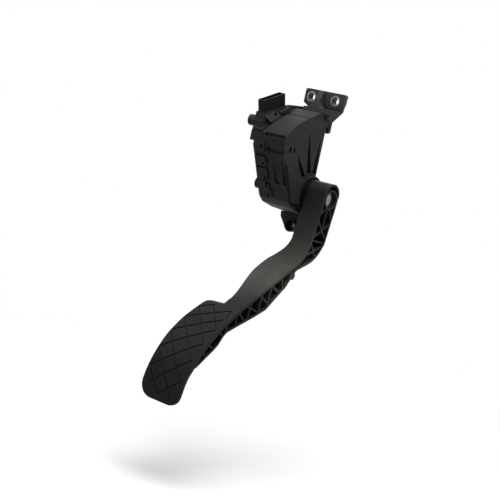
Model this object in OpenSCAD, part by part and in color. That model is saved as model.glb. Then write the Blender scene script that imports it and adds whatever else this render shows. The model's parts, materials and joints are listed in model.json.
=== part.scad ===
// Electronic accelerator pedal: a moulded housing that bolts to the bulkhead, a ribbed
// pedal arm with its foot pad on a steel axle, the return springs and friction shoe
// inside, and the position sensor with its plug socket under a snap-on cover.
// X runs across the car, +Y goes forward into the bulkhead, +Z is up along the flange.
// The origin lies midway between the two flange holes on the mounting plane.

/* [Mounting flange] */
// Distance between the two flange holes
hole_spacing = 29; // [27:0.5:34]
// Bore of the steel mounting bushes
bush_bore = 8.4; // [6.4:0.1:8.8]
// Outer diameter of the steel mounting bushes
bush_outer = 11; // [10:0.1:12]
// Length of the mounting bushes, from the flange pocket to the bulkhead
bush_length = 9; // [8:0.5:11]
// Thickness of the flange plate
flange_thick = 4.5; // [3.5:0.5:6]
// Margin of the flange beyond each hole centre
flange_margin = 11.7; // [11:0.1:15]
// Height of the flange above the hole centres
flange_rise = 8; // [7.5:0.5:11]
// Bore of the lower fixing lug
lug_bore = 5.5; // [5.2:0.1:6.6]
// Counterbore of the lower fixing lug, which takes the screw head
lug_socket = 11; // [10.4:0.2:12]
// Depth of the lower fixing lug from the bulkhead to its face
lug_depth = 11.5; // [10:0.5:14]
// Drop of the lower fixing lug below the flange holes
lug_drop = 131; // [129:0.5:135]
// Sideways place of the lower fixing lug
lug_side = -6; // [-8:0.5:-4]

/* [Housing] */
// Distance of the pedal pivot in front of the bulkhead
pivot_depth = 19.5; // [19:0.25:22]
// Drop of the pedal pivot below the flange holes
pivot_drop = 95.5; // [94:0.5:98]
// Radius of the drum-shaped top of the housing about the pivot
drum_radius = 77.5; // [76.5:0.5:80]
// Distance of the front face from the bulkhead
front_depth = 77; // [76:0.5:80]
// Distance of the back wall from the bulkhead
back_depth = 13; // [11:0.5:13.5]
// Wall thickness of the housing
wall = 2.6; // [2:0.1:3]
// Thickness of the right wall, which carries the axle and the ribs
right_wall = 4.5; // [4:0.25:6]
// Place of the right face of the housing
right_side = 13.5; // [12.5:0.5:15]
// Width of the housing moulding from its right face to the cover seam
housing_width = 31; // [30:0.5:36]
// Radius of the axle boss on the right face
boss_radius = 19; // [17:0.5:19]
// Height of the axle boss above the right face
boss_height = 3; // [2:0.5:4]

/* [Sensor cover] */
// Height of the sensor cover's flat rim over the housing
cover_height = 5.5; // [5:0.5:7]
// Height of the sensor chamber over the cover's rim
chamber_height = 6; // [5.5:0.5:8]
// Wall thickness of the sensor cover
cover_wall = 2.2; // [1.8:0.1:2.6]
// Length of the plug socket
socket_length = 32.5; // [30:0.5:36]
// Width of the plug socket
socket_width = 8; // [7.5:0.25:10]
// Wall of the plug socket
socket_wall = 1.1; // [0.9:0.1:1.4]
// Height of the plug socket above its base
socket_height = 19; // [17:0.5:22]
// Tilt of the plug socket
socket_tilt = 20; // [16:1:24]
// Number of connector pins
pin_count = 6; // [4:1:6]

/* [Axle and bearings] */
// Diameter of the axle in the arm and the right bearing
axle_diameter = 16.2; // [15:0.2:17]
// Diameter of the axle's left journal
journal_diameter = 9; // [8:0.2:10]
// Running clearance of the axle in its bearings, on the radius
running_clearance = 0.05; // [0.03:0.01:0.08]
// Wall of the bearing sleeves
bearing_wall = 2.2; // [1.6:0.1:2.6]
// Depth of the axle's end inside the arm's outer face
axle_recess = 6; // [4:0.5:8]
// Gap between pieces that are clipped or laid together
seat_gap = 0.1; // [0.05:0.05:0.2]

/* [Pedal arm] */
// Place of the arm's right face
arm_side = 42; // [41:0.5:44]
// Width of the arm at the axle
arm_width = 23; // [21:0.5:25]
// Thickness of the arm's front skin
skin = 2.5; // [2:0.1:3.2]
// Thickness of the arm's left web and back flange
web = 2.2; // [1.8:0.1:2.8]
// Thickness of the truss ribs
rib = 1.7; // [1.2:0.1:2.2]
// Slope of the upper arm from the horizontal
upper_slope = 81; // [79:1:83]
// Slope of the lower arm from the horizontal
lower_slope = 31; // [29:1:34]
// Length of the straight upper arm
upper_length = 51; // [48:1:55]
// Radius of the bend below the upper arm
knee_radius = 33; // [30:1:38]
// Length of the straight lower arm down to the pad
lower_length = 86; // [80:1:92]
// Place of the arm's left edge where it is widest
wide_edge = 8; // [6:0.5:11]

/* [Foot pad] */
// Width of the pad at its foot
pad_width = 46; // [43:1:48]
// Length of the pad along its face
pad_length = 112; // [110:1:116]
// Radius of the pad's upper part
pad_upper_radius = 190; // [180:5:210]
// Radius of the pad's lower part
pad_lower_radius = 78; // [74:1:84]
// Thickness of the pad
pad_thick = 2.5; // [2.5:0.25:4]
// Width of the tread grooves
groove_width = 1.3; // [1:0.1:1.6]
// Depth of the tread grooves
groove_depth = 0.8; // [0.5:0.1:1.2]

/* [Return springs] */
// Height of the springs above the pivot
spring_height = 43; // [41:0.5:45]
// Outer diameter of the outer spring
outer_coil = 16; // [14.5:0.25:17]
// Wire of the outer spring
outer_wire = 1.8; // [1.4:0.1:2]
// Wire of the inner spring
inner_wire = 1.2; // [1:0.1:1.4]
// Turns of the outer spring
outer_turns = 7; // [6:1:8]
// Turns of the inner spring
inner_turns = 9; // [8:1:10]
// Tilt of the inner lever at rest
lever_tilt = 5; // [4:0.5:6]
// Thickness of the inner lever
lever_thick = 6; // [5:0.5:7]
// Travel of the pedal
pedal_travel = 17; // [14:1:18]

/* [Hidden] */
$fn = 64;
over = 1;
plastic = "#2f3230";
dark_plastic = "#26272a";
steel = "#b9bcbf";

// Pivot and main planes
pivot_y = -pivot_depth;
pivot_z = -pivot_drop;
seam_x = right_side - housing_width;
cover_x = seam_x - cover_height;
chamber_x = cover_x - chamber_height;
inner_right = right_side - right_wall;
boss_face = right_side + boss_height;
pocket_face = -bush_length;
plate_back = pocket_face + flange_thick;
shelf_z = -14.5;
drum_inner = drum_radius - wall;
drum_top = pivot_z + drum_radius;
lug_socket_depth = 6.5;

// Sloping front below the flat front face, and the angle at which the drum meets that face
slope_step = 3.5;
slope_rise = 32;
slope_foot = [pivot_y - 37.5, pivot_z + 2.5];
front_angle = asin(min(0.98, (front_depth - pivot_depth) / drum_radius));

// Bearing plate that closes the spring chamber, the seal on it and the cover's spigot
plate_thick = 2.4;
seal_thick = 1.2;
spigot = 1.2;
seat_step = 1.2;
seal_left = seam_x + spigot + seat_gap;
plate_left = seal_left + seal_thick;
plate_right = plate_left + plate_thick;

// Axle stations from left to right
arm_left = arm_side - arm_width;
axle_radius = axle_diameter / 2;
journal_radius = journal_diameter / 2;
core_radius = axle_radius - 1.6;
axle_right = arm_side - axle_recess;
sleeve_outer = axle_radius + running_clearance + bearing_wall;
small_sleeve_outer = journal_radius + running_clearance + bearing_wall;
washer_thick = 1.2;
washer_radius = boss_radius - 3;
collar_face = arm_left - washer_thick - 2 * seat_gap;

// Profile helpers: a profile in Y and Z runs along X, one in X and Z along Y
module along_x(from, to) {
    translate([from, 0, 0]) rotate([90, 0, 90]) linear_extrude(to - from) children();
}
module along_y(from, to) {
    translate([0, to, 0]) rotate([90, 0, 0]) linear_extrude(to - from) children();
}
module rod_x(from, to, radius, y = pivot_y, z = pivot_z) {
    translate([from, y, z]) rotate([0, 90, 0]) cylinder(h = to - from, r = radius);
}
module rod_y(from, to, radius, x, z) {
    translate([x, to, z]) rotate([90, 0, 0]) cylinder(h = to - from, r = radius);
}
module rod_z(from, to, radius, x, y) {
    translate([x, y, from]) cylinder(h = to - from, r = radius);
}
// A point at a radius and a forward angle about the pivot
function about_pivot(radius, angle) =
    [pivot_y - radius * sin(angle), pivot_z + radius * cos(angle)];

// Side profile of the housing, drawn inset by a wall for the chamber inside
module housing_profile(inset = 0) {
    front = -front_depth + inset;
    back = -back_depth - inset;
    low = pivot_z - 23 + inset;
    intersection() {
        translate([pivot_y, pivot_z]) circle(drum_radius - inset);
        polygon([
            [back, 0], [front, 0], [front, pivot_z + slope_rise + 6],
            [front + slope_step, pivot_z + slope_rise], [slope_foot[0] + inset, slope_foot[1]],
            [pivot_y - 30.5 + inset, low + 12.5], [pivot_y - 23.5 + inset / 2, low + 7],
            [pivot_y - 6.5, low + 2.5], [pivot_y + 11.5 - inset, low], [pivot_y + 16.5 - inset, low],
            [pivot_y + 16.5 - inset, pivot_z], [back, pivot_z + 10]
        ]);
    }
    translate([pivot_y, pivot_z]) circle(boss_radius + 0.5 - inset);
}
// Shelf that carries the drum's top back to the flange
module shelf_profile() {
    polygon([
        [-43, shelf_z - 6.8], [-29.5, shelf_z - 0.6], [-26, shelf_z],
        [plate_back, shelf_z], [plate_back, shelf_z - 16], [-30, shelf_z - 8]
    ]);
}
// Front view of the flange plate
module flange_outline(grow = 0) {
    left = -hole_spacing / 2 - 8.3 - grow;
    right = hole_spacing / 2 + flange_margin + grow;
    top = flange_rise + grow;
    corner = 2.5;
    difference() {
        polygon([
            [left, top], [right, top], [right - 2.4, -9.7], [right - 12.4, -21.3],
            [right - 12.4, -32], [-13, -32], [-15, -10.5], [left, -6.4]
        ]);
        for (side = [0, 1])
            translate([side == 0 ? left : right, top]) mirror([side, 0])
                difference() {
                    square(2 * corner, center = true);
                    translate([corner, -corner]) circle(corner);
                    translate([corner, -3 * corner]) square([2 * corner, 2 * corner]);
                    translate([corner, -corner]) square([corner, 2 * corner]);
                    translate([0, -2 * corner]) square([2 * corner, corner]);
                }
    }
}
// Recess round one flange hole, open towards the flange's edge
module flange_pocket(inner, outer, floor_z) {
    bend = 7;
    side = outer > inner ? 1 : -1;
    translate([inner + side * bend, floor_z + bend]) circle(bend);
    polygon([
        [inner, floor_z + bend], [inner, flange_rise + over], [outer, flange_rise + over],
        [outer, floor_z + bend]
    ]);
    polygon([
        [inner + side * bend, floor_z], [outer, floor_z], [outer, floor_z + bend],
        [inner + side * bend, floor_z + bend]
    ]);
}
// Recess between two radial ribs of the right face
module radial_pocket(tip_radius, tip_angle, start_angle, end_angle) {
    polygon([
        about_pivot(tip_radius, tip_angle),
        about_pivot(boss_radius + 2.5, start_angle),
        about_pivot(boss_radius + 2.5, (start_angle + end_angle) / 2),
        about_pivot(boss_radius + 2.5, end_angle)
    ]);
}
module housing_flange() {
    // plate with its two recesses and the ramp between them
    difference() {
        union() {
            along_y(pocket_face, plate_back) flange_outline();
            difference() {
                along_x(-16, hole_spacing / 2 + flange_margin)
                    polygon([
                        [pocket_face, flange_rise], [pocket_face - 1.5, flange_rise],
                        [-20, shelf_z], [-20, shelf_z - 4], [pocket_face, shelf_z - 7]
                    ]);
                along_y(-30, pocket_face) difference() {
                    translate([-40, -60]) square(120);
                    flange_outline();
                }
            }
            for (side = [-1, 1])
                rod_y(plate_back - over, 0, bush_outer / 2 + 2.6, side * hole_spacing / 2, 0);
            // ribs behind the plate
            along_y(plate_back - over, -1.5) {
                translate([-hole_spacing / 2, -1]) square([hole_spacing, 2]);
                for (x = [-7, 0, 7])
                    translate([x - 0.9, -24]) square([1.8, 24]);
            }
        }
        along_y(-30, pocket_face) {
            flange_pocket(0.3, 40, -9.5);
            flange_pocket(-6, -40, -10.2);
        }
        for (side = [-1, 1])
            rod_y(pocket_face - over, over, bush_outer / 2, side * hole_spacing / 2, 0);
    }
}
module lower_lug() {
    // tapered foot with the third fixing
    along_y(-lug_depth + 2, -3)
        polygon([
            [seam_x, pivot_z - 20], [seam_x, pivot_z - 23.4], [seam_x - 4, pivot_z - 23.4],
            [seam_x - 3.3, pivot_z - 28.8], [lug_side - 11, -lug_drop + 1.9],
            [lug_side - 5.6, -lug_drop - 5.6], [lug_side + 5, -lug_drop - 4],
            [lug_side + 6.6, -lug_drop - 2], [right_side - 5, pivot_z - 24],
            [right_side - 4, pivot_z - 12]
        ]);
    rod_y(-lug_depth, 0, lug_socket / 2 + 1.2, lug_side, -lug_drop);
}
module housing_front_block() {
    // raised block on the front face
    along_x(seam_x + 11.5, right_side + 1)
        polygon([
            [-front_depth + 12, pivot_z + 49.8], [-front_depth - 1.5, pivot_z + 48.8],
            [-front_depth + 0.2, pivot_z + 39.1], [-front_depth + 12, pivot_z + 39.1]
        ]);
}
module housing() {
    color(plastic) {
        housing_shell();
        intersection() {
            stop_ledge();
            along_x(mech_x - 6, inner_right + over) housing_profile(wall - over);
        }
    }
}
module housing_shell() {
    difference() {
        union() {
            along_x(seam_x, right_side) housing_profile();
            along_x(seam_x, right_side) shelf_profile();
            housing_flange();
            housing_front_block();
            lower_lug();
            // axle boss and the apron that runs from it to the front face
            along_x(right_side - over, boss_face) {
                translate([pivot_y, pivot_z]) circle(boss_radius);
                polygon([
                    about_pivot(boss_radius - 6, 30), [-front_depth + 8, pivot_z + 26],
                    [pivot_y - 36, pivot_z + 2.5], [pivot_y - 29.5, pivot_z - 10],
                    about_pivot(boss_radius - 6, 160)
                ]);
            }
            // small ear beside the flange
            along_y(-14, plate_back) translate([4.4, shelf_z - 18.5]) square([8, 9]);
        }
        // chamber for the lever and the springs
        along_x(seam_x - over, inner_right) housing_profile(wall);
        along_x(seam_x - over, plate_right + seat_gap) housing_profile(wall - seat_step);
        // front face: recess under the ledge, grooves and the slot beside the block
        along_x(seam_x + 6, right_side - 1.2)
            polygon([
                [-front_depth - over, pivot_z + 53], [-front_depth + 1.7, pivot_z + 52.5],
                [-front_depth + 1.7, pivot_z + 49.6], [-front_depth - over, pivot_z + 49.1]
            ]);
        along_x(seam_x + 11.5, right_side + over)
            polygon([
                [-front_depth - 2, pivot_z + 39], [-front_depth + 1.5, pivot_z + 39],
                [-front_depth + 3.2, pivot_z + 35.2], [-front_depth + 1, pivot_z + 34.4],
                [-front_depth - 2, pivot_z + 35]
            ]);
        for (groove = [[-1, 5.5], [right_side - 3.6, 3.2]])
            along_x(groove[0], groove[0] + groove[1])
                polygon([
                    [-front_depth - 4, pivot_z + 29], [-front_depth + 6.6, pivot_z + 27],
                    [slope_foot[0], slope_foot[1] + 3.5], [slope_foot[0] - 4.5, slope_foot[1] + 2.5]
                ]);
        // ribs and recesses of the right face
        along_x(right_side - 3, boss_face + over) {
            radial_pocket(drum_radius - 11, 18.2, 9, 29);
            radial_pocket(drum_radius - 19, -1.5, -14, 4.5);
            radial_pocket(drum_radius - 25.5, 41, 34, 52);
            // two small windows beside the front block
            translate([-front_depth + 9, pivot_z + 38]) square([4.3, 5]);
            translate([-front_depth + 17, pivot_z + 38]) square([2.8, 5]);
        }
        // ring groove round the axle boss
        difference() {
            rod_x(boss_face - 2.2, boss_face + over, boss_radius - 1.6);
            rod_x(boss_face - 3, boss_face + 2, washer_radius - 1.2);
        }
        rod_x(seam_x, boss_face + over, sleeve_outer);
        for (side = [-1, 1])
            rod_y(pocket_face - over, over, bush_outer / 2, side * hole_spacing / 2, 0);
        rod_y(-lug_depth - over, -lug_depth + lug_socket_depth, lug_socket / 2, lug_side, -lug_drop);
        rod_y(-lug_depth - over, over, lug_bore / 2, lug_side, -lug_drop);
        rod_x(0, right_side + 10, 1.9, -11, shelf_z - 14);
    }
}
module mount_bush(side) {
    color(steel) difference() {
        rod_y(pocket_face, 0, bush_outer / 2, side * hole_spacing / 2, 0);
        rod_y(pocket_face - over, over, bush_bore / 2, side * hole_spacing / 2, 0);
    }
}
module left_mount_bush() { mount_bush(-1); }
module right_mount_bush() { mount_bush(1); }

// Plate that carries the axle's left journal
module bearing_plate() {
    color(dark_plastic) difference() {
        union() {
            along_x(plate_left, plate_right) housing_profile(wall - seat_step + seat_gap);
            rod_x(plate_left - 1.6, plate_right, small_sleeve_outer + 2.4);
        }
        rod_x(plate_left - 3, plate_right + over, small_sleeve_outer);
    }
}
module cover_seal() {
    color("#3a3d40") along_x(seal_left, seal_left + seal_thick) difference() {
        housing_profile(wall - seat_step + seat_gap);
        housing_profile(wall + 1.4);
    }
}

// Sensor cover with its clips
module over_drum(from, to, inner, outer, start_angle, end_angle) {
    intersection() {
        along_x(from, to) difference() {
            translate([pivot_y, pivot_z]) circle(outer);
            translate([pivot_y, pivot_z]) circle(inner);
        }
        along_x(from - over, to + over)
            polygon([
                [pivot_y, pivot_z], about_pivot(outer * 1.2, start_angle),
                about_pivot(outer * 1.2, end_angle)
            ]);
    }
}
// Places a clip on the sloping front face, at a drop along it
module on_front(drop) {
    translate([0, -front_depth + slope_step, pivot_z + slope_rise])
        rotate([front_slope, 0, 0])
            translate([0, 0, -drop]) children();
}
front_slope = atan2(slope_foot[0] + front_depth - slope_step, pivot_z + slope_rise - slope_foot[1]);
clip_thick = 1.5;
tab_drop = 43;
tab_x = seam_x + 6;
module front_clip(drop, height, reach) {
    on_front(drop) difference() {
        translate([cover_x + 1, -clip_thick, -height])
            cube([seam_x - cover_x + reach - 1, clip_thick + 0.6, height]);
        translate([seam_x + reach - 4.4, -clip_thick - over, -height + 1.4])
            cube([2.8, clip_thick + 2 * over, 2.8]);
    }
}
socket_x = seam_x - 4.5;
socket_y = -front_depth + 12.2;
socket_z = drum_top + 9.7;
// Frame of the plug socket: its mouth faces up, its long side runs along the car
module at_socket() {
    translate([socket_x, socket_y, socket_z]) rotate([socket_tilt, 0, 0]) children();
}
chamber_inset = 7.5;
module chamber_profile(inset = 0) {
    // sensor chamber round the pivot and the electronics space above it
    housing_profile(chamber_inset + inset);
    intersection() {
        housing_profile(0.6 + inset);
        translate([-front_depth - 5, drum_top - 35.5 + inset])
            square([front_depth + 5 + pivot_y - 10.5 - inset, drum_radius]);
    }
}
module dome(y, z, from, to) {
    rod_x(from, to, 5.5, y, z);
}
dome_upper = [-front_depth + 5.5, drum_top - 16.5];
dome_lower = [pivot_y - 26.5, pivot_z + 1];
module sensor_cover() {
    color(plastic) {
        cover_shell();
        cover_posts();
    }
}
// Sloping latch that reaches from the pedestal down over the drum
module at_latch() {
    translate([0, -front_depth + 15.5, drum_top - 11.2]) rotate([28, 0, 0]) children();
}
module drum_latch() {
    at_latch() intersection() {
        translate([0, 20, 0]) rotate([90, 0, 0]) linear_extrude(40)
            polygon([
                [seam_x - over, -4], [seam_x - over, 7.6], [seam_x, 7.2], [seam_x + 4, 0.4],
                [seam_x + 4, -4]
            ]);
        along_x(seam_x - 2, seam_x + 6)
            polygon([[-12.5, 7.4], [1.5, 7.4], [8.4, 3], [6.7, -3], [-6.7, -3]]);
    }
}
module cover_shell() {
    difference() {
        union() {
            along_x(cover_x, seam_x) housing_profile();
            along_x(chamber_x, cover_x + over) chamber_profile();
            along_x(seam_x - over, seam_x + spigot) housing_profile(wall - seat_step + seat_gap);
            // pedestal of the plug socket
            along_x(chamber_x + 1, seam_x)
                polygon([
                    [-front_depth + 0.5, drum_top - 7.6], [pivot_y - 25, drum_top + 4],
                    [pivot_y - 20.5, drum_top + 3.4], [pivot_y - 20.5, drum_top - 6],
                    [-front_depth + 0.5, drum_top - 32]
                ]);
            dome(dome_upper[0], dome_upper[1], chamber_x - 7, seam_x - 1);
            dome(dome_lower[0], dome_lower[1], cover_x - 8, cover_x + over);
            // clips over the drum and down the front
            drum_latch();
            // strap beside the socket and the rim behind it
            along_x(seam_x - over, seam_x + 3.2)
                polygon([
                    [pivot_y - 36.5, drum_top - 3.8], [pivot_y - 34.5, drum_top - 2.4],
                    [pivot_y - 22.5, drum_top + 3.1], [pivot_y - 20, drum_top + 2.5],
                    [pivot_y - 20, drum_top - 1.4], [pivot_y - 34.5, drum_top - 6]
                ]);
            along_x(cover_x + 1.5, seam_x) difference() {
                polygon([
                    [pivot_y - 25, drum_top + 3.3], [pivot_y - 16.3, drum_top + 5.2],
                    [pivot_y - 6.8, drum_top + 5.8], [-12, drum_top + 6.6], [-12, drum_top + 2],
                    [pivot_y - 6.5, drum_top - 1.5], [pivot_y - 23.5, drum_top - 4.5]
                ]);
                for (y = [pivot_y - 14, pivot_y - 3])
                    translate([y, drum_top + 4]) square([1.6, 5]);
            }
            over_drum(seam_x - 10.5, seam_x + 2, drum_inner, drum_radius + 2,
                front_angle - 9.4, front_angle - 0.9);
            over_drum(cover_x + 1, seam_x, drum_inner, drum_radius + 1.4, 2, 12);
            along_x(cover_x + 1, seam_x + 8.5)
                polygon([
                    [-front_depth - 1.4, pivot_z + 44], [-front_depth + 2, pivot_z + 44],
                    [-front_depth + slope_step + 2, pivot_z + slope_rise + 1.5],
                    [-front_depth + slope_step - 2.4, pivot_z + slope_rise + 1.5],
                    [-front_depth - 1.4, pivot_z + slope_rise + 6.4]
                ]);
            front_clip(3, 10.2, 8.5);
            front_clip(16, 13, 8.8);
            front_clip(33, 5, 9.2);
            on_front(tab_drop) translate([tab_x, 0, 0]) rotate([90, 0, 0])
                cylinder(h = clip_thick, r = 6);
            on_front(tab_drop - 13) translate([cover_x + 1, -clip_thick, -15])
                cube([seam_x - cover_x + 4, clip_thick, 15]);
        }
        // hollow inside
        along_x(cover_x + cover_wall, seam_x + spigot + over) housing_profile(wall + 1.4);
        along_x(chamber_x + cover_wall, seam_x) chamber_profile(cover_wall);
        // opening for the plug socket
        at_socket() translate([-socket_width / 2 - seat_gap, -socket_length / 2 - seat_gap, -26])
            cube([socket_width + 2 * seat_gap, socket_length + 2 * seat_gap, 40]);
        // windows and housing side of the clips
        at_latch() translate([seam_x + 0.8, 0.5, 1.6]) cube([2, 4, 8]);
        along_x(seam_x + 4, seam_x + 7)
            translate([-front_depth - 3, pivot_z + slope_rise + 5]) square([6, 3]);
        along_x(seam_x + spigot, seam_x + 20) housing_profile(-0.1);
        difference() {
            along_x(seam_x, seam_x + 20) housing_profile(-0.1);
            along_x(seam_x - over, seam_x + spigot) housing_profile(wall - seat_step + seat_gap);
        }
        on_front(tab_drop) translate([tab_x + 1.5, over, -1.5]) rotate([90, 0, 0])
            cylinder(h = 4, r = 1.5);
        for (at = [dome_upper, dome_lower])
            rod_x(chamber_x - 8, chamber_x - 3.5, 3.2, at[0], at[1]);
        rod_x(cover_x - 9, cover_x - 4.5, 3.2, dome_lower[0], dome_lower[1]);
    }
}

// Plug socket moulded with the pins, and the pins
module plug_socket() {
    color(dark_plastic) at_socket() difference() {
        union() {
            translate([-socket_width / 2, -socket_length / 2, -socket_height])
                cube([socket_width, socket_length, socket_height]);
            translate([-socket_width / 2 - 0.5, -socket_length / 2 + 2, -3.2])
                cube([1, 4, 3.2]);
        }
        translate([
            -socket_width / 2 + socket_wall, -socket_length / 2 + socket_wall,
            -socket_height + 2.4
        ])
            cube([
                socket_width - 2 * socket_wall, socket_length - 2 * socket_wall, socket_height
            ]);
        for (i = [0 : pin_count - 1])
            translate([-pin_size / 2, pin_at(i) - pin_size / 2, -socket_height - over])
                cube([pin_size, pin_size, 5]);
    }
}
pin_size = 0.9;
pin_length = socket_height - 5;
function pin_at(i) = (i - (pin_count - 1) / 2) * (socket_length - 2 * socket_wall) / (pin_count + 0.5);
module connector_pins() {
    color("#c8b27a") at_socket()
        for (i = [0 : pin_count - 1])
            translate([-pin_size / 2, pin_at(i) - pin_size / 2, -socket_height - 4])
                cube([pin_size, pin_size, pin_length]);
}

// Sensor: circuit board on three posts, rotor on the axle and its contact springs
board_thick = 1.6;
board_right = socket_x - pin_size / 2 - 0.05;
board_left = board_right - board_thick;
board_posts = [
    [pivot_y - 7.5, drum_top - 26], [-front_depth + 15, drum_top - 32],
    [pivot_y - 20.5, pivot_z + 23.5]
];
screw_radius = 1.1;
screw_end = chamber_x + cover_wall + 0.2;
rotor_radius = boss_radius + 0.5 - chamber_inset - cover_wall - 0.6;
rotor_right = plate_left - 1.6 - 1.2;
rotor_left = board_right + 1.3;
axle_left = board_right + 0.6;
module circuit_board() {
    color("#2e5b3c") difference() {
        along_x(board_left, board_right) difference() {
            chamber_profile(cover_wall + 0.6);
            translate([pivot_y, pivot_z]) circle(2);
        }
        at_socket() translate([-socket_width, -socket_length, -socket_height - 0.2])
            cube([2 * socket_width, 2 * socket_length, 60]);
        for (post = board_posts) rod_x(board_left - over, 0, screw_radius + 0.1, post[0], post[1]);
    }
}
module cover_posts() {
    for (post = board_posts)
        difference() {
            rod_x(chamber_x + 1, board_left, 2.8, post[0], post[1]);
            rod_x(screw_end - 0.1, board_left + over, screw_radius, post[0], post[1]);
        }
}
module board_screws() {
    color(steel) for (post = board_posts) {
        rod_x(screw_end, board_right + 0.05, screw_radius - 0.02, post[0], post[1]);
        difference() {
            rod_x(board_right + 0.02, board_right + 1.3, 2.1, post[0], post[1]);
            for (turn = [0, 90])
                translate([board_right + 1.1, post[0], post[1]]) rotate([turn, 0, 0])
                    cube([1, 2.6, 0.5], center = true);
        }
    }
}
module rotor() {
    color(dark_plastic) difference() {
        union() {
            rod_x(rotor_left, rotor_right, 6);
            // arm that carries the contact springs
            along_x(rotor_left, rotor_left + 1.6) difference() {
                intersection() {
                    translate([pivot_y, pivot_z]) circle(rotor_radius);
                    translate([pivot_y, pivot_z])
                        polygon([[0, 0], [-20, 14], [-14, 24], [8, 24], [6, 0]]);
                }
                translate([pivot_y, pivot_z]) circle(4);
            }
        }
        difference() {
            rod_x(rotor_left - over, rotor_right + over, journal_radius - 0.9);
            translate([rotor_left, pivot_y + 2.6, pivot_z - 5]) cube([9, 4, 10]);
        }
    }
}
module wiper_springs() {
    // bent contact springs that reach from the rotor to the tracks on the board
    color("#c9a96a") for (track = [rotor_radius - 2.3, rotor_radius - 0.9])
        translate([0, pivot_y, pivot_z]) rotate([28, 0, 0]) translate([0, 0, track])
            linear_extrude(0.9, center = true)
                polygon([
                    [rotor_left, -1.2], [rotor_left, 0.4], [rotor_left - 0.3, 0.4],
                    [board_right + 0.1, 1.2], [board_right + 0.1, 0.9],
                    [rotor_left - 0.5, 0.1], [rotor_left - 0.25, -1.2]
                ]);
}

// Steel axle: left end with a flat, journals, core for the lever and head for the arm
pin_diameter = 4;
mech_x = (plate_right + inner_right) / 2;
arm_pin_x = arm_left + 6.5;
clip_left = plate_left - 1.6 - 0.9;
module axle() {
    color(steel) difference() {
        union() {
            difference() {
                rod_x(axle_left, rotor_right + 0.1, journal_radius - 0.95);
                translate([axle_left - over, pivot_y + 2.55, pivot_z - 6])
                    cube([rotor_right - axle_left + over, 5, 12]);
            }
            rod_x(rotor_right + 0.1, clip_left - 0.1, journal_radius);
            rod_x(clip_left - 0.1, plate_left - 1.6, journal_radius - 0.7);
            rod_x(plate_left - 1.6, plate_right + 0.4, journal_radius);
            rod_x(plate_right + 0.4, inner_right - 0.4, core_radius);
            rod_x(inner_right - 0.4, axle_right, axle_radius);
        }
        rod_z(pivot_z - 20, pivot_z + 20, pin_diameter / 2 + 0.02, arm_pin_x, pivot_y);
        at_lever(lever_tilt) rod_y(-20, 20, pin_diameter / 2 + 0.02, mech_x, 0);
        translate([axle_right - 1.2, pivot_y, pivot_z]) rotate([0, 90, 0])
            cylinder(h = 4, r1 = 0.6, r2 = 2.8);
    }
}
module left_bearing() {
    color("#8a7f63") difference() {
        rod_x(plate_left - 1.6, plate_right, small_sleeve_outer);
        rod_x(plate_left - 3, plate_right + over, journal_radius + running_clearance);
    }
}
module right_bearing() {
    color("#8a7f63") difference() {
        union() {
            rod_x(inner_right, boss_face, sleeve_outer);
            rod_x(boss_face, collar_face, washer_radius - 1.6);
        }
        rod_x(inner_right - over, collar_face + over, axle_radius + running_clearance);
    }
}
module thrust_washer() {
    color(steel) difference() {
        rod_x(collar_face + seat_gap, collar_face + seat_gap + washer_thick, washer_radius);
        rod_x(collar_face - over, arm_left + over, axle_radius + 0.02);
    }
}
module retaining_clip() {
    color(steel) difference() {
        rod_x(clip_left, clip_left + 0.8, journal_radius + 2.2);
        rod_x(clip_left - over, clip_left + 2, journal_radius - 0.68);
        translate([clip_left - over, pivot_y - 2.6, pivot_z]) cube([3, 5.2, 9]);
    }
}

// Inner lever: frame with its long side up and the springs towards -Y
module at_lever(angle) {
    translate([0, pivot_y, pivot_z]) rotate([angle, 0, 0]) children();
}
lever_half = 8;
lever_hub = 11.5;
shoe_base = drum_inner - 5.6;
seat_peg = outer_coil / 2 - outer_wire - 0.4 - inner_wire - 0.5;
module inner_lever() {
    color(dark_plastic) at_lever(lever_tilt) difference() {
        union() {
            rod_x(plate_right + 0.6, inner_right - 0.6, lever_hub, 0, 0);
            translate([mech_x - lever_half, -lever_thick / 2, 0])
                cube([2 * lever_half, lever_thick, shoe_base - 0.1]);
            translate([mech_x - 2, -lever_thick / 2 + 1.5, shoe_base - over])
                cube([4, lever_thick - 3, 3]);
            // side cheeks from the hub to the spring seat
            for (side = [-1, 1])
                translate([mech_x + side * (lever_half - 1.25), 0, 0])
                    rotate([90, 0, 90]) linear_extrude(2.5, center = true)
                        polygon([
                            [-lever_hub, 0], [-lever_thick / 2 - 2.2, spring_height - 11],
                            [-lever_thick / 2, spring_height - 9], [lever_thick / 2, 14],
                            [lever_hub, 0]
                        ]);
            rod_y(-lever_thick / 2 - 2.5, 0, seat_peg, mech_x, spring_height);
        }
        rod_x(plate_right - over, inner_right + over, core_radius + 0.02, 0, 0);
        rod_y(-20, 20, pin_diameter / 2 + 0.02, mech_x, 0);
        // lightening pocket in the back, with a rib down its middle
        for (side = [-1, 1])
            translate([mech_x + side * 3.4 - 2.1, 0.4, 16]) cube([4.2, lever_thick, 34]);
    }
}
module lever_pin() {
    color(steel) at_lever(lever_tilt)
        rod_y(-lever_hub + 0.4, lever_hub - 0.4, pin_diameter / 2, mech_x, 0);
}
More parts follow.
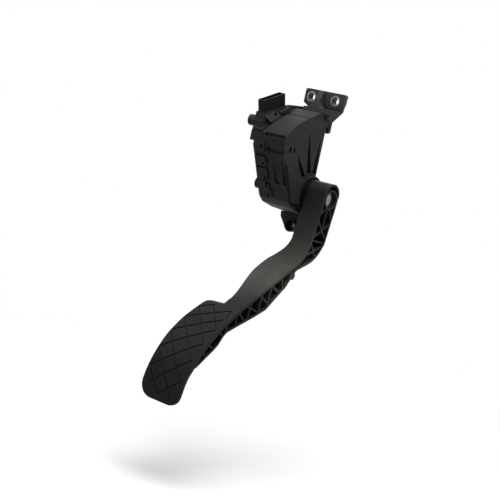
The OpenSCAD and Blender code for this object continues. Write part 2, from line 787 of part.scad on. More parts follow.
module friction_shoe() {
    // plastic shoe that rubs under the drum and damps the pedal
    color("#d8d5c8") at_lever(lever_tilt) intersection() {
        difference() {
            rod_x(mech_x - lever_half, mech_x + lever_half, drum_inner - 0.3, 0, 0, $fn = 360);
            translate([mech_x - 20, -40, shoe_base - 60]) cube([40, 80, 60]);
            translate([mech_x - 2.1, -lever_thick / 2 + 1.4, shoe_base - over])
                cube([4.2, lever_thick - 2.8, 3.2 + over]);
            translate([mech_x - 20, -100, -100]) cube([40, 200, 100]);
        }
        translate([mech_x - 20, -6, shoe_base]) cube([40, 12, 10]);
    }
}

// Springs and their front seat, along an axis square to the lever at rest
spring_start = lever_thick / 2 + 0.1;
seat_space = 7.4;
drum_reach = sqrt(drum_inner * drum_inner - spring_height * spring_height);
front_reach = min(front_depth - wall - pivot_depth, drum_reach);
front_along = (front_reach - spring_height * sin(lever_tilt)) / cos(lever_tilt);
spring_length = front_along - seat_space - spring_start;
module at_spring() {
    at_lever(lever_tilt) translate([mech_x, 0, spring_height]) rotate([90, 0, 0]) children();
}
module spring_cup() {
    color(dark_plastic) intersection() {
        at_spring() difference() {
            translate([0, 0, spring_start + spring_length - 2.5])
                cylinder(h = 20, r = outer_coil / 2 + 1.9);
            difference() {
                translate([0, 0, 0])
                    cylinder(h = spring_start + spring_length + 0.1, r = outer_coil / 2 + 0.4);
                cylinder(h = 100, r = seat_peg);
            }
        }
        along_x(seam_x, inner_right) housing_profile(wall + seat_gap);
    }
}
// Coil spring: a round wire swept up a helix whose end turns lie closer together
coil_sides = 8;
coil_steps = 18;
function coil_height(part, length, wire) =
    wire / 2 + (length - wire) * (part - 0.6 * sin(360 * part) / (2 * PI));
module coil(outer, wire, turns, length) {
    steps = turns * coil_steps;
    middle = (outer - wire) / 2;
    ring = [for (i = [0 : steps], k = [0 : coil_sides - 1])
        let (angle = 360 * i / coil_steps, side = 360 * k / coil_sides,
            radius = middle + wire / 2 * cos(side))
        [radius * cos(angle), radius * sin(angle),
            coil_height(i / steps, length, wire) + wire / 2 * sin(side)]];
    skin_faces = [for (i = [0 : steps - 1], k = [0 : coil_sides - 1])
        let (next = (k + 1) % coil_sides, base = i * coil_sides)
        [base + k, base + coil_sides + k, base + coil_sides + next, base + next]];
    first = [for (k = [0 : coil_sides - 1]) k];
    last = [for (k = [coil_sides - 1 : -1 : 0]) steps * coil_sides + k];
    polyhedron(ring, concat(skin_faces, [first, last]), convexity = 12);
}
module outer_spring() {
    color("#9da1a4") at_spring() translate([0, 0, spring_start])
        coil(outer_coil, outer_wire, outer_turns, spring_length);
}
module inner_spring() {
    color("#9da1a4") at_spring() translate([0, 0, spring_start])
        coil(outer_coil - 2 * outer_wire - 0.8, inner_wire, inner_turns, spring_length);
}
module idle_buffer() {
    color("#1d1e1f") intersection() {
        at_lever(lever_tilt) translate([mech_x - 5, lever_thick / 2 + 0.1, stop_height - 3])
            cube([10, 14, 10]);
        along_x(seam_x, inner_right) housing_profile(wall + seat_gap);
    }
}
stop_rib = 4;
stop_height = drum_inner - 19.9;
buffer_thick = 3.5;
module full_travel_buffer() {
    color("#1d1e1f") at_lever(lever_tilt + pedal_travel)
        translate([mech_x - 5, -lever_thick / 2 - 0.2 - buffer_thick, stop_height + 1])
            cube([10, buffer_thick, 11]);
}
module stop_ledge() {
    at_lever(lever_tilt + pedal_travel)
        translate([mech_x - 5, -lever_thick / 2 - 0.3 - buffer_thick - stop_rib, stop_height])
            cube([inner_right + over - mech_x + 5, stop_rib, drum_inner - stop_height]);
}

// Path of the driver's face of arm and pad: points are [y, z, slope], the inward normal is
// [sin(slope), -cos(slope)] and a station is the length along the face from the hub
hub_radius = 12.3;
hub_lift = 3.5;
pad_middle_slope = 46;
pad_end_slope = 80;
pad_start = 168;
pad_end = pad_start + pad_length;
function go(p, length) = [p[0] - length * cos(p[2]), p[1] - length * sin(p[2]), p[2]];
function turn(p, radius, slope) =
    let (way = slope > p[2] ? 1 : -1)
    [p[0] - way * radius * (sin(slope) - sin(p[2])),
        p[1] - way * radius * (cos(p[2]) - cos(slope)), slope];
function turn_length(radius, slope_change) = radius * abs(slope_change) * PI / 180;
hub_point = [pivot_y - hub_radius * sin(upper_slope),
    pivot_z + hub_lift + hub_radius * cos(upper_slope), upper_slope];
knee_point = go(hub_point, upper_length - 2);
shin_point = turn(knee_point, knee_radius, lower_slope);
tread_point = go(shin_point, lower_length);
curl_point = turn(tread_point, pad_upper_radius, pad_middle_slope);
toe_point = turn(curl_point, pad_lower_radius, pad_end_slope);
knee_station = upper_length - 2;
shin_station = knee_station + turn_length(knee_radius, upper_slope - lower_slope);
tread_station = shin_station + lower_length;
curl_station = tread_station + turn_length(pad_upper_radius, pad_middle_slope - lower_slope);
toe_station = curl_station + turn_length(pad_lower_radius, pad_end_slope - pad_middle_slope);
function degrees_at(length, radius) = length / radius * 180 / PI;
function face_at(s) =
    s < knee_station ? go(hub_point, s)
    : s < shin_station
        ? turn(knee_point, knee_radius, upper_slope - degrees_at(s - knee_station, knee_radius))
    : s < tread_station ? go(shin_point, s - shin_station)
    : s < curl_station
        ? turn(tread_point, pad_upper_radius,
            lower_slope + degrees_at(s - tread_station, pad_upper_radius))
    : s < toe_station
        ? turn(curl_point, pad_lower_radius,
            pad_middle_slope + degrees_at(s - curl_station, pad_lower_radius))
    : go(toe_point, s - toe_station);
function inside_at(s, depth) =
    let (p = face_at(s)) [p[0] + depth * sin(p[2]), p[1] - depth * cos(p[2])];

// Layer under the driver's face between two depths, as exact bands that lap at their seams
seam_lap = 0.002;
module straight_band(p, length, near, far) {
    q = go(p, length);
    polygon([
        [p[0] + near * sin(p[2]), p[1] - near * cos(p[2])],
        [q[0] + near * sin(p[2]), q[1] - near * cos(p[2])],
        [q[0] + far * sin(p[2]), q[1] - far * cos(p[2])],
        [p[0] + far * sin(p[2]), p[1] - far * cos(p[2])]
    ]);
}
module turned_band(p, radius, slope, near, far) {
    way = slope > p[2] ? 1 : -1;
    middle = (p[2] + slope) / 2;
    reach = 3 * radius;
    translate([p[0] + way * radius * sin(p[2]), p[1] - way * radius * cos(p[2])])
        intersection() {
            difference() {
                circle(way > 0 ? radius - near : radius + far, $fn = 360);
                circle(way > 0 ? radius - far : radius + near, $fn = 360);
            }
            polygon([
                [0, 0],
                for (angle = [p[2] - way * seam_lap, middle, slope + way * seam_lap])
                    [-way * reach * sin(angle), way * reach * cos(angle)]
            ]);
        }
}
module arm_band(near, far) {
    straight_band(hub_point, knee_station, near, far);
    turned_band(knee_point, knee_radius, lower_slope, near, far);
    straight_band(shin_point, lower_length, near, far);
}
module pad_band(near, far) {
    turned_band(tread_point, pad_upper_radius, pad_middle_slope, near, far);
    turned_band(curl_point, pad_lower_radius, pad_end_slope, near, far);
    straight_band(toe_point, pad_end - toe_station + 5, near, far);
}

// Depth of the arm behind the driver's face at its stations
arm_depth = [
    [0, 23.9], [10, 24.6], [47, 24.6], [54.6, 20.5], [59.7, 16.9], [69.3, 9.3], [77.7, 6], [82, 6.3],
    [98.6, 14], [108, 15.6], [131.4, 20.2], [147, 18.1], [167, 14.6], [180, 11.9], [190, 9.2],
    [196, 10], [205, 12.3], [213, 11.9], [222, 10.3], [230, 8.1], [236, 5.9], [243, pad_thick]
];
channel_end = 243;
function depth_at(s) = lookup(s, arm_depth);
side_step = 3.2;
channel_stations = [for (i = [0 : floor(channel_end / side_step)]) i * side_step];
// Side view of the arm's channel, its back drawn further in by an inset
module channel_profile(inset = 0) {
    last = len(channel_stations) - 1;
    polygon(concat(
        [for (s = channel_stations) inside_at(s, skin / 2)],
        [for (i = [last : -1 : 0]) let (s = channel_stations[i])
            inside_at(s, max(skin / 2 + 0.2, depth_at(s) - inset))]
    ));
}
edge_step_in = 0.15;
function left_edge(s) =
    s < 48 ? arm_left + edge_step_in
    : s < 84
        ? arm_left + edge_step_in
            - (arm_left + edge_step_in - wide_edge) * (1 - cos(180 * (s - 48) / 36)) / 2
    : s < 93 ? wide_edge
    : s < 161 ? wide_edge + (arm_left + 2 - wide_edge) * (1 - cos(180 * (s - 93) / 68)) / 2
    : arm_left + 2;
edge_step = 4;
pad_left = arm_side - 0.5 - pad_width;
// Left edge of the pad, as [station, distance from pad_left]
pad_edge = [
    [pad_start + 16, 3.4], [pad_start + 28, 1.5], [pad_start + 46, 0.3], [pad_start + 70, -0.6],
    [pad_start + 92, -2.4]
];
// Rounded corner of a flat outline, as points from one angle to the next
function corner(x, s, radius, start, end) =
    [for (angle = [start : (end - start) / 5 : end]) [x + radius * cos(angle), s + radius * sin(angle)]];
// Outline of arm and pad as [x, station], from the hub down the left edge and back up
function arm_outline(inset) = concat(
    [for (s = [0 : edge_step : pad_start - 2]) [left_edge(s) + inset, s]],
    corner(pad_left + 10.5, pad_start + 2.4 + inset, 5, 280, 190),
    [for (edge = pad_edge) [pad_left + edge[1] + inset, edge[0]]],
    corner(pad_left + 11.3, pad_end - 14, 14 - inset, 180, 95),
    corner(arm_side - 13, pad_end - 9.7, 10 - inset, 85, 0),
    [[arm_side - 2.7 - inset, pad_end - 20], [arm_side - 2 - inset, pad_end - 28],
        [arm_side - 0.6 - inset, pad_end - 36], [arm_side + edge_step_in - inset, pad_end - 42],
        [arm_side + edge_step_in - inset, 0]]
);
module front_view(outline) {
    along_y(-400, 0) polygon([for (p = outline) [p[0], face_at(p[1])[1]]]);
}
// Truss ribs as [station, depth share] at their two ends
truss = [
    [[21, 0], [11, 0.5]], [[14, 0.5], [38, 0.58]], [[12, 0.7], [24, 1]],
    [[26, 0], [42, 1]], [[45, 0], [26, 1]], [[47, 0], [46, 1]],
    [[49.5, 0], [57.5, 1]], [[64, 0], [49, 1]],
    [[101, 0], [103, 1]], [[116.5, 0], [109, 1]], [[116, 0], [130, 1]], [[135, 0], [125.6, 1]],
    [[131, 0], [143, 1]], [[156, 0], [141, 1]], [[147, 0], [159, 1]], [[167, 0], [163, 1]],
    [[170, 0], [176, 1]], [[184, 0], [190, 1]], [[197, 0], [196, 1]], [[214, 0], [212, 1]],
    [[222, 0], [225, 1]], [[236, 0], [235, 1]]
];
module truss_rib(ends) {
    a = inside_at(ends[0][0], max(skin / 2, ends[0][1] * (depth_at(ends[0][0]) - web / 2)));
    b = inside_at(ends[1][0], max(skin / 2, ends[1][1] * (depth_at(ends[1][0]) - web / 2)));
    across = rib / 2 * [a[1] - b[1], b[0] - a[0]] / norm(b - a);
    polygon([a + across, b + across, b - across, a - across]);
}
module hub_circle(radius, lift) {
    translate([pivot_y, pivot_z + lift]) circle(radius);
}
// Tread grooves: two families of straight lines on the unrolled face, as [x, station] ends
tread_grooves = [
    [[2, 177], [14, 168.6]], [[-1, 194], [33.5, 171]], [[-3, 213], [36, 184]],
    [[-4, 233], [38, 198]], [[-4, 252], [37.8, 216.5]], [[2, 266], [37, 235.5]],
    [[14, 274.5], [35, 257]], [[34.6, 169.8], [37.4, 181]],
    [[13, 169.5], [38, 197]], [[1, 177], [37.6, 216.5]], [[-1.5, 195.5], [37, 235.5]],
    [[-3, 214.5], [35, 257]], [[-4, 233], [31, 275]], [[-3, 254], [15, 275]]
];
module groove_strip(ends) {
    along = (ends[1] - ends[0]) / norm(ends[1] - ends[0]);
    across = groove_width / 2 * [-along[1], along[0]];
    parts = 8;
    line = [for (i = [0 : parts]) ends[0] + (ends[1] - ends[0]) * i / parts];
    polygon(concat(
        [for (i = [0 : parts]) let (p = line[i] + across) [p[0], face_at(p[1])[1]]],
        [for (i = [parts : -1 : 0]) let (p = line[i] - across) [p[0], face_at(p[1])[1]]]
    ));
}
module pedal_arm() {
    color(plastic) difference() {
        union() {
            // front skin and pad, cut to the outline seen from the front
            intersection() {
                union() {
                    along_x(-20, arm_side) arm_band(0, skin);
                    along_x(-20, arm_side) pad_band(0, pad_thick);
                }
                front_view(arm_outline(0));
            }
            // channel: left web, back flange and truss ribs
            along_x(arm_left, arm_left + web) {
                channel_profile();
                hub_circle(hub_radius, hub_lift);
            }
            along_x(arm_left, arm_side) {
                difference() {
                    channel_profile();
                    channel_profile(web);
                    hub_circle(hub_radius - web, hub_lift);
                }
                difference() {
                    hub_circle(hub_radius, hub_lift);
                    hub_circle(hub_radius - web, hub_lift);
                    translate([pivot_y - 40, pivot_z - 50]) square([80, 52]);
                }
            }
            along_x(arm_left, arm_side - 0.4) {
                for (ends = truss) truss_rib(ends);
                translate(inside_at(86, 8)) circle(4.2);
            }
            rod_x(arm_left, arm_side - 0.2, axle_radius + 2.2);
            rod_z(pivot_z + axle_radius, pivot_z + hub_lift + hub_radius - 0.6, 3.6,
                arm_pin_x, pivot_y);
            // rim and cross ribs under the pad
            intersection() {
                along_x(-20, arm_side) pad_band(pad_thick - 0.5, pad_thick + 0.8);
                difference() {
                    front_view(arm_outline(0));
                    front_view(arm_outline(2));
                }
            }
            intersection() {
                along_x(-20, arm_left + over)
                    for (s = [pad_start + 18 : 19 : pad_end - 36])
                        truss_rib([[s, 0], [s, (pad_thick + 3) / (depth_at(s) - web / 2)]]);
                front_view(arm_outline(0.5));
            }
        }
        rod_x(arm_left - over, arm_side + over, axle_radius + 0.04);
        rod_z(pivot_z - axle_radius - 4, pivot_z + 40, pin_diameter / 2 + 0.02,
            arm_pin_x, pivot_y);
        // tread grooves
        intersection() {
            along_x(-20, arm_side) {
                pad_band(-over, groove_depth);
                straight_band(go(shin_point, lower_length - 6), 6, -over, groove_depth);
            }
            along_y(-400, 0) for (ends = tread_grooves) groove_strip(ends);
        }
    }
}
module arm_pin() {
    color(steel)
        rod_z(pivot_z - axle_radius - 3.5, pivot_z + hub_lift + hub_radius - 0.4,
            pin_diameter / 2, arm_pin_x, pivot_y);
}

housing();
left_mount_bush();
right_mount_bush();
bearing_plate();
sensor_cover();
cover_seal();
plug_socket();
connector_pins();
circuit_board();
board_screws();
rotor();
wiper_springs();
axle();
left_bearing();
right_bearing();
thrust_washer();
retaining_clip();
inner_lever();
lever_pin();
friction_shoe();
spring_cup();
outer_spring();
inner_spring();
idle_buffer();
full_travel_buffer();
pedal_arm();
arm_pin();
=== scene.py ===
"""Accelerator pedal for a car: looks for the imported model, seen as in the photograph.

Row frame in metres: X across the car, +Y forward into the bulkhead, +Z up; the origin lies
midway between the two flange holes on the mounting plane. Names that end in _MM are in
millimetres, and noise scales are in waves per metre.
"""
import json
import math

import bpy
import numpy as np
from mathutils import Matrix, Vector


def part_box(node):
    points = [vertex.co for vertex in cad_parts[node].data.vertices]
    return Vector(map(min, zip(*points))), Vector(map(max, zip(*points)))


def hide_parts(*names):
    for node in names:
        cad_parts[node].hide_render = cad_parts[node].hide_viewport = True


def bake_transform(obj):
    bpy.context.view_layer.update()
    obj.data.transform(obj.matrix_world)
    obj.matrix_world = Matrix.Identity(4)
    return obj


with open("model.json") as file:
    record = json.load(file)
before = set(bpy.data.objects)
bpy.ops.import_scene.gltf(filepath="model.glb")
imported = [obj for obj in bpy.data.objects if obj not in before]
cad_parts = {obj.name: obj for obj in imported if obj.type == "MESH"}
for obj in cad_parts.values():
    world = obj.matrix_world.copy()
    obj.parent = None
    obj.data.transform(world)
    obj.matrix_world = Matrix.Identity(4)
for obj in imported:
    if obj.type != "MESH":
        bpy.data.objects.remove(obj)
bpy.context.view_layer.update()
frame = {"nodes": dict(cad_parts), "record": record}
scene = bpy.context.scene
scene.view_settings.view_transform = "Standard"
MM = 0.001


def linear(code):
    """An sRGB hex code as linear red, green, blue and alpha."""
    parts = [int(code[i:i + 2], 16) / 255 for i in (1, 3, 5)]
    return [c / 12.92 if c <= 0.04045 else ((c + 0.055) / 1.055) ** 2.4 for c in parts] + [1.0]


# ---------------------------------------------------------------- nodes
def new_material(name, roughness, metallic=0.0, **sockets):
    """A material with its principled shader; constants are set on the shader's own sockets."""
    m = bpy.data.materials.new(name)
    m.use_nodes = True
    shader = m.node_tree.nodes["Principled BSDF"]
    shader.inputs["Roughness"].default_value = roughness
    shader.inputs["Metallic"].default_value = metallic
    for key, value in sockets.items():
        shader.inputs[key.replace("_", " ")].default_value = value
    return m, m.node_tree, shader


def add(tree, kind, settings=None, **links):
    """Adds a node of that kind with its settings and links. A link is named after an input, with
    _ for a space, or is i and the input's number. What it gives is a socket or a value."""
    n = tree.nodes.new(kind)
    for key, value in (settings or {}).items():
        setattr(n, key, value)
    for key, value in links.items():
        by_number = key[0] == "i" and key[1:].isdigit()
        socket = n.inputs[int(key[1:]) if by_number else key.replace("_", " ")]
        if isinstance(value, bpy.types.NodeSocket):
            tree.links.new(value, socket)
        else:
            socket.default_value = value
    return n


def calculate(tree, operation, *values):
    """The result of a math node on those values."""
    inputs = {"i%d" % number: value for number, value in enumerate(values)}
    return add(tree, "ShaderNodeMath", {"operation": operation}, **inputs).outputs[0]


def calculate_vector(tree, operation, first, second):
    """The result of a vector math node, which is a number for a dot product or a distance."""
    n = add(tree, "ShaderNodeVectorMath", {"operation": operation}, i0=first, i1=second)
    return n.outputs["Value" if operation in ("DOT_PRODUCT", "DISTANCE") else "Vector"]


def scaled(tree, colour, share):
    """That share of the colour."""
    n = add(tree, "ShaderNodeVectorMath", {"operation": "SCALE"}, i0=colour, Scale=share)
    return n.outputs["Vector"]


def spread(tree, value, begin, end, low=0.0, high=1.0, **settings):
    """The value, carried from the range begin to end over to the range low to high."""
    return add(tree, "ShaderNodeMapRange", settings, Value=value, From_Min=begin, From_Max=end,
               To_Min=low, To_Max=high).outputs[0]


def ramp(tree, fac, stops, interpolation="LINEAR"):
    """The colour that a ramp gives that value, with stops as (place, sRGB hex or grey)."""
    n = add(tree, "ShaderNodeValToRGB", Fac=fac)
    band = n.color_ramp
    band.interpolation = interpolation
    while len(band.elements) < len(stops):
        band.elements.new(0.5)
    for e, (place, colour) in zip(band.elements, stops):
        e.position = place
        e.color = linear(colour) if isinstance(colour, str) else [colour, colour, colour, 1]
    return n.outputs["Color"]


def openness(tree, distance_mm):
    """How open a point is within that distance: 1 on a free face, less in a corner or a bore."""
    n = add(tree, "ShaderNodeAmbientOcclusion", {"samples": 8}, Distance=distance_mm * MM)
    return n.outputs["AO"]


# ---------------------------------------------------------------- materials
DRIFT_SCALE = 55.0           # a moulding's tone drifts over about 18 mm
GRAIN_SHARE = 0.35           # how much of the grain shows in that tone
GRAIN_DEPTH_MM = 0.05
PLASTIC_SHINE, PLASTIC_IOR = 0.1, 1.53
EDGE_MM, EDGE_PAINTED_HIGHLIGHT = 0.5, 0.7     # the mould's radius on an edge, and how much paler a painted highlight makes it
SHADE_REACH_MM, CORNER_SHADE_SHARE = 4.0, 0.3    # the reach of painted shade from a corner, and the tone it leaves there

STREAK_SCALE, STREAK_MM = 40.0, 0.25    # a tool line runs for about 25 mm, at this spacing
STREAK_DEPTH_MM = 0.02
STAIN_SCALE = 240.0          # handling stains on metal are about 4 mm wide
BORE_SHADE_SHARE = 0.04            # the tone that painted shade leaves deep in a bore


def moulded_plastic(name, dark, light, grain_mm, roughness, grain_depth_mm=GRAIN_DEPTH_MM,
                    painted_shading=None):
    """Plastic from a textured mould: a slow drift between two tones, fine erosion grain in the
    relief, and roughness that follows the grain. Edges are rounded by the mould's radius and a
    painted highlight makes them a little paler, and painted shade darkens the inner corners. With
    the last argument as (direction, from_mm, to_mm, stops), the tone is that share of itself along
    the direction, between those distances from the origin: painted light and shade laid along the
    part."""
    m, t, s = new_material(name, roughness, Specular_IOR_Level=PLASTIC_SHINE, IOR=PLASTIC_IOR)
    place = add(t, "ShaderNodeTexCoord").outputs["Object"]
    drift = add(t, "ShaderNodeTexNoise", Vector=place, Scale=DRIFT_SCALE, Detail=4.0,
                Roughness=0.6).outputs["Fac"]
    grain = add(t, "ShaderNodeTexNoise", Vector=place, Scale=1 / (grain_mm * MM), Detail=3.0,
                Roughness=0.7).outputs["Fac"]
    mixed = calculate(t, "MULTIPLY_ADD", grain, GRAIN_SHARE, drift)
    tone = ramp(t, mixed, [(0.42, dark), (0.86, light)])
    # painted light and shade: the tone is scaled along a direction to stand in for how light falls
    # on the part
    if painted_shading:
        direction, begin_mm, end_mm, stops = painted_shading
        along = calculate_vector(t, "DOT_PRODUCT", place, direction)
        part = spread(t, along, begin_mm * MM, end_mm * MM)
        tone = calculate_vector(t, "MULTIPLY", tone, ramp(t, part, stops, "EASE"))
    # the rounded normal turns away from the flat one along an edge, which is where a painted
    # highlight makes the tone paler
    rounded = add(t, "ShaderNodeBevel", {"samples": 6}, Radius=EDGE_MM * MM).outputs[0]
    flat = add(t, "ShaderNodeNewGeometry").outputs["Normal"]
    turn = calculate_vector(t, "DOT_PRODUCT", rounded, flat)
    painted_edge_highlight = spread(t, turn, 0.99, 0.86, 1.0, 1.0 + EDGE_PAINTED_HIGHLIGHT)
    # painted shade: ambient occlusion darkens corners, creases and gaps between parts
    painted_corner_shade = spread(t, openness(t, SHADE_REACH_MM), 0.35, 0.95, CORNER_SHADE_SHARE, 1.0)
    tone = scaled(t, tone, calculate(t, "MULTIPLY", painted_edge_highlight, painted_corner_shade))
    t.links.new(tone, s.inputs["Base Color"])
    rough = spread(t, grain, 0.25, 0.75, roughness - 0.06, roughness + 0.1)
    t.links.new(rough, s.inputs["Roughness"])
    bump = add(t, "ShaderNodeBump", Strength=0.5, Distance=grain_depth_mm * MM, Height=grain,
               Normal=rounded)
    t.links.new(bump.outputs[0], s.inputs["Normal"])
    return m


def worked_metal(name, dark, light, roughness, streak_axis=1, metallic=1.0, bore_shade_mm=0.0):
    """Turned or drawn steel: fine tool lines across one axis in the roughness and relief, with
    faint handling stains. Given a bore width, painted shade darkens the inside of a bore of about
    that width."""
    m, t, s = new_material(name, roughness, metallic)
    place = add(t, "ShaderNodeTexCoord").outputs["Object"]
    squeeze = [STREAK_SCALE] * 3
    squeeze[streak_axis] = 1 / (STREAK_MM * MM)
    squeezed = add(t, "ShaderNodeMapping", Vector=place, Scale=squeeze).outputs[0]
    line = add(t, "ShaderNodeTexNoise", Vector=squeezed, Scale=1.0, Detail=2.0).outputs["Fac"]
    stain = add(t, "ShaderNodeTexNoise", Vector=place, Scale=STAIN_SCALE, Detail=5.0)
    tone = ramp(t, stain.outputs["Fac"], [(0.3, dark), (0.65, light)])
    # painted shade: ambient occlusion darkens the inside of the bore
    if bore_shade_mm:
        tone = scaled(t, tone, spread(t, openness(t, bore_shade_mm), 0.6, 1.0, BORE_SHADE_SHARE, 1.0))
    t.links.new(tone, s.inputs["Base Color"])
    rough = spread(t, line, 0.3, 0.7, roughness - 0.08, roughness + 0.14)
    t.links.new(rough, s.inputs["Roughness"])
    bump = add(t, "ShaderNodeBump", Strength=0.35, Distance=STREAK_DEPTH_MM * MM, Height=line)
    t.links.new(bump.outputs[0], s.inputs["Normal"])
    return m


# painted light and shade: the housing is painted darker below its flange, so the flange is paler,
# and the arm is painted darker at its hub and on the pad
FLANGE_PAINTED_LIGHT = ((0.0, 0.6, 0.8), -50, 5, [(0.0, 0.33), (0.5, 0.42), (1.0, 1.0)])
ARM_PAINTED_SHADE = ((0.0, -0.857, -0.515), 80, 310,
           [(0.0, 0.25), (0.15, 0.75), (0.33, 0.95), (0.58, 0.14), (0.72, 0.12), (0.88, 0.2),
            (1.0, 0.12)])
BARE_ZINC = ("#c4c6c5", "#e2e3e2")
finish = {
    "housing_plastic": moulded_plastic("glass_filled_nylon_housing", "#41433f", "#545650", 0.7,
                                       0.55, painted_shading=FLANGE_PAINTED_LIGHT),
    "cover_plastic": moulded_plastic("glass_filled_nylon_cover", "#292b28", "#343633", 0.7, 0.55),
    "socket_plastic": moulded_plastic("black_nylon_socket", "#0b0b0c", "#121213", 0.6, 0.5),
    "arm_plastic": moulded_plastic("glass_filled_nylon_arm", "#3c3e3a", "#4c4e49", 0.6, 0.52,
                                   painted_shading=ARM_PAINTED_SHADE),
    "inner_plastic": moulded_plastic("black_acetal", "#2a2a2e", "#38383c", 0.6, 0.42),
    "shoe_plastic": moulded_plastic("natural_acetal", "#c9c4b4", "#dad6c8", 0.6, 0.4),
    "bearing_material": moulded_plastic("sintered_bearing", "#6b5d43", "#84755a", 0.5, 0.45),
    "board": moulded_plastic("solder_mask", "#1c5030", "#28663f", 1.2, 0.3, grain_depth_mm=0.02),
    "seal_rubber": moulded_plastic("moulded_rubber", "#1c1c1e", "#28282b", 0.5, 0.7),
    "bush_steel": worked_metal("zinc_plated_steel", "#6f7171", "#959796", 0.34, bore_shade_mm=10),
    "axle_steel": worked_metal("turned_steel", "#b4b5b4", "#d8d9d8", 0.3, streak_axis=0),
    "spring_steel": worked_metal("drawn_spring_steel", "#8d8f90", "#adafb0", 0.35),
    "contact_brass": worked_metal("tinned_bronze", "#b0955c", "#cdb27a", 0.3, streak_axis=2),
}
own_finish = {
    "thrust_washer": worked_metal("phosphated_steel", "#191a19", "#262725", 0.5),
    "axle": worked_metal("zinc_flake_coated_steel", *BARE_ZINC, 0.6, 0, metallic=0.25),
    "arm_pin": worked_metal("zinc_flake_coated_dowel", *BARE_ZINC, 0.6, 0, metallic=0.25),
}
slot_of = {s["node"]: s["material_slot"] for s in frame["record"]["subparts"]}
for name, node in frame["nodes"].items():
    node.data.materials.clear()
    node.data.materials.append(own_finish.get(name, finish[slot_of[name]]))


# ---------------------------------------------------------------- return springs
# The springs' axis, as the part's source has it: square on the inner lever, which hangs on the
# hinge and is tilted at rest. All in millimetres.
HINGE_Y, HINGE_Z = -19.5, -95.5
LEVER_TILT = math.radians(5.0)
SPRING_HEIGHT = 43.0                        # above the hinge, along the lever
SPRING_START, SPRING_LENGTH = 3.1, 40.85    # from the lever's middle plane, and as fitted
CLOSER_ENDS = 0.6                           # 0 is an even pitch, 1 is a flat end turn
WIRE_STEPS, WIRE_SIDES = 30, 14             # along one turn and round the wire
low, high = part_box("outer_spring")
SPRING_X = (low.x + high.x) / 2 / MM


def beside_lever(across, up, out):
    """Points given across the lever, up from the springs' axis and out from the lever's middle
    plane, as row coordinates in metres."""
    y, z = -out, SPRING_HEIGHT + up
    return np.stack([SPRING_X + across,
                     HINGE_Y + y * math.cos(LEVER_TILT) - z * math.sin(LEVER_TILT),
                     HINGE_Z + y * math.sin(LEVER_TILT) + z * math.cos(LEVER_TILT)], axis=-1) * MM


def coil_spring(node, name, outer, wire, turns):
    """Round wire of that size swept up a helix of n turns whose end turns lie closer together.
    At the share t of the way and the angle k round the wire, the distance from the axis is
    (outer - wire) / 2 + wire / 2 * cos(k), turned by 2 pi n t, and the height is
    wire / 2 + (length - wire) * (t - c sin(2 pi t) / (2 pi)) + wire / 2 * sin(k), where c is
    CLOSER_ENDS. It takes the place of the node's plain solid."""
    t = np.linspace(0, 1, turns * WIRE_STEPS + 1)[:, None]
    k = np.linspace(0, 2 * np.pi, WIRE_SIDES, endpoint=False)[None, :]
    away = (outer - wire) / 2 + wire / 2 * np.cos(k) + 0 * t
    climb = t - CLOSER_ENDS * np.sin(2 * np.pi * t) / (2 * np.pi)
    height = wire / 2 + (SPRING_LENGTH - wire) * climb
    height = SPRING_START + height + wire / 2 * np.sin(k)
    turned = 2 * np.pi * turns * t
    points = beside_lever(away * np.cos(turned), away * np.sin(turned), height).reshape(-1, 3)
    i, j = np.meshgrid(np.arange(len(t) - 1), np.arange(WIRE_SIDES), indexing="ij")
    here, onward, beside = i * WIRE_SIDES, (i + 1) * WIRE_SIDES, (j + 1) % WIRE_SIDES
    quads = np.stack([here + j, onward + j, onward + beside, here + beside], axis=-1)
    last = len(points) - 1
    ends = [list(range(WIRE_SIDES)), list(range(last, last - WIRE_SIDES, -1))]
    mesh = bpy.data.meshes.new(name)
    mesh.from_pydata(points.tolist(), [], quads.reshape(-1, 4).tolist() + ends)
    mesh.polygons.foreach_set("use_smooth", np.ones(len(mesh.polygons), bool))
    mesh.materials.append(finish["spring_steel"])
    spring = bpy.data.objects.new(name, mesh)
    scene.collection.objects.link(spring)
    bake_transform(spring)
    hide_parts(node)


coil_spring("outer_spring", "outer_spring_wire", 16.0, 1.8, 7)
coil_spring("inner_spring", "inner_spring_wire", 11.6, 1.2, 9)

# ---------------------------------------------------------------- camera
# fitted to the photograph: round to the right of straight ahead, up, and tipped, in degrees
AZIMUTH, ELEVATION, ROLL = 36.0, 6.5, 12.0
PLACE = Vector((708.3, -1052.4, -20.4)) * MM
FOCAL_PX, PHOTO_PX, SENSOR_MM = 1250, 500, 36.0
az, el, roll = (math.radians(v) for v in (AZIMUTH, ELEVATION, ROLL))
back = Vector((math.sin(az) * math.cos(el), -math.cos(az) * math.cos(el), math.sin(el)))
level = Vector((math.cos(az), math.sin(az), 0))
rise = back.cross(level)
right = math.cos(roll) * level + math.sin(roll) * rise
up = back.cross(right)
camera = bpy.data.objects.new("photo_camera", bpy.data.cameras.new("photo_camera"))
camera.matrix_world = Matrix((
    (right.x, up.x, back.x, PLACE.x), (right.y, up.y, back.y, PLACE.y),
    (right.z, up.z, back.z, PLACE.z), (0, 0, 0, 1)))
camera.data.sensor_width = SENSOR_MM
camera.data.lens = FOCAL_PX / PHOTO_PX * SENSOR_MM
camera.data.clip_start, camera.data.clip_end = 0.05, 60
scene.collection.objects.link(camera)
scene.camera = camera

# ---------------------------------------------------------------- floor, backdrop and light
WHITE = [1, 1, 1, 1]
FLOOR_Z, FLOOR_REACH = -0.37, 6
SHADOW_PLACE = (0.04, -0.12, FLOOR_Z)       # under the pedal
SHADOW_END, WHITE_START = 0.12, 0.75        # distances between which the paper goes to white
AMBIENT = 0.07


def seen_rays(tree):
    """1 for what the eye, gloss and glass see, and 0 for the light that falls on things."""
    rays = add(tree, "ShaderNodeLightPath").outputs
    seen = calculate(tree, "MAXIMUM", rays["Is Camera Ray"], rays["Is Glossy Ray"])
    return calculate(tree, "MAXIMUM", seen, rays["Is Transmission Ray"])


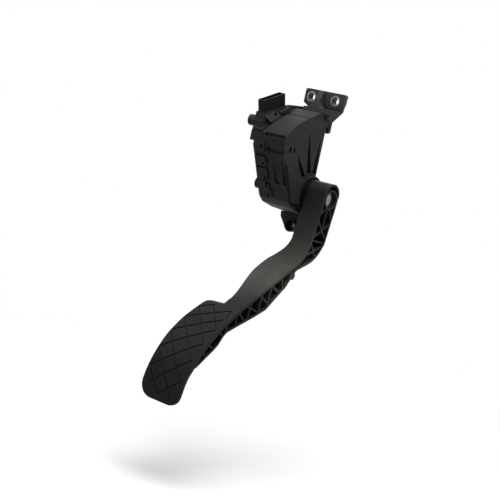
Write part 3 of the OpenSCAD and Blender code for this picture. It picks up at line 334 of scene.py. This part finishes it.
# White paper that keeps the shadow under the pedal. Further off, what is seen of it goes over to
# plain white. It throws back little light, so that the pedal's underside stays dark.
floor_mesh = bpy.data.meshes.new("floor")
reach = (-FLOOR_REACH, FLOOR_REACH)
floor_mesh.from_pydata([(x, y, FLOOR_Z) for x in reach for y in reach], [], [(0, 2, 3, 1)])
floor = bpy.data.objects.new("floor", floor_mesh)
scene.collection.objects.link(floor)
m, t, s = new_material("white_studio_paper", 0.9, Specular_IOR_Level=0.1)
seen = seen_rays(t)
place = add(t, "ShaderNodeTexCoord").outputs["Object"]
off = calculate_vector(t, "DISTANCE", place, SHADOW_PLACE)
away = spread(t, off, SHADOW_END, WHITE_START, interpolation_type="SMOOTHSTEP")
tone = add(t, "ShaderNodeMix", {"data_type": "RGBA"}, i0=seen, i6=linear("#8f8f8d"),
           i7=linear("#fbfbfb"))
t.links.new(tone.outputs[2], s.inputs["Base Color"])
plain = add(t, "ShaderNodeEmission", Color=WHITE, Strength=1.0)
paper = add(t, "ShaderNodeMixShader", i0=calculate(t, "MULTIPLY", seen, away), i1=s.outputs[0],
            i2=plain.outputs[0])
t.links.new(paper.outputs[0], t.nodes["Material Output"].inputs["Surface"])
floor_mesh.materials.append(m)

world = bpy.data.worlds.new("studio")
scene.world = world
world.use_nodes = True
w = world.node_tree
w.nodes.clear()
dim = add(w, "ShaderNodeBackground", Color=linear("#f4f4f2"), Strength=AMBIENT)
white = add(w, "ShaderNodeBackground", Color=WHITE, Strength=1.0)
choose = add(w, "ShaderNodeMixShader", i0=seen_rays(w), i1=dim.outputs[0], i2=white.outputs[0])
add(w, "ShaderNodeOutputWorld", Surface=choose.outputs[0])


def soft_box(name, place_mm, aim_mm, size_mm, watts):
    """A square area lamp at a place, aimed at a point."""
    lamp = bpy.data.lights.new(name, "AREA")
    lamp.shape = "SQUARE"
    lamp.size = size_mm * MM
    lamp.energy = watts
    box = bpy.data.objects.new(name, lamp)
    box.location = Vector(place_mm) * MM
    aim = Vector(aim_mm) * MM - box.location
    box.rotation_euler = aim.to_track_quat("-Z", "Y").to_euler()
    scene.collection.objects.link(box)


HOUSING_MM = (0, -60, -120)
soft_box("top_softbox", (150, -250, 1500), (0, -100, -150), 1400, 36)
soft_box("right_softbox", (1500, -300, 500), HOUSING_MM, 900, 6)
soft_box("back_softbox", (-500, 1500, 500), HOUSING_MM, 1200, 8)
soft_box("left_softbox", (-1500, -300, 400), HOUSING_MM, 900, 3)
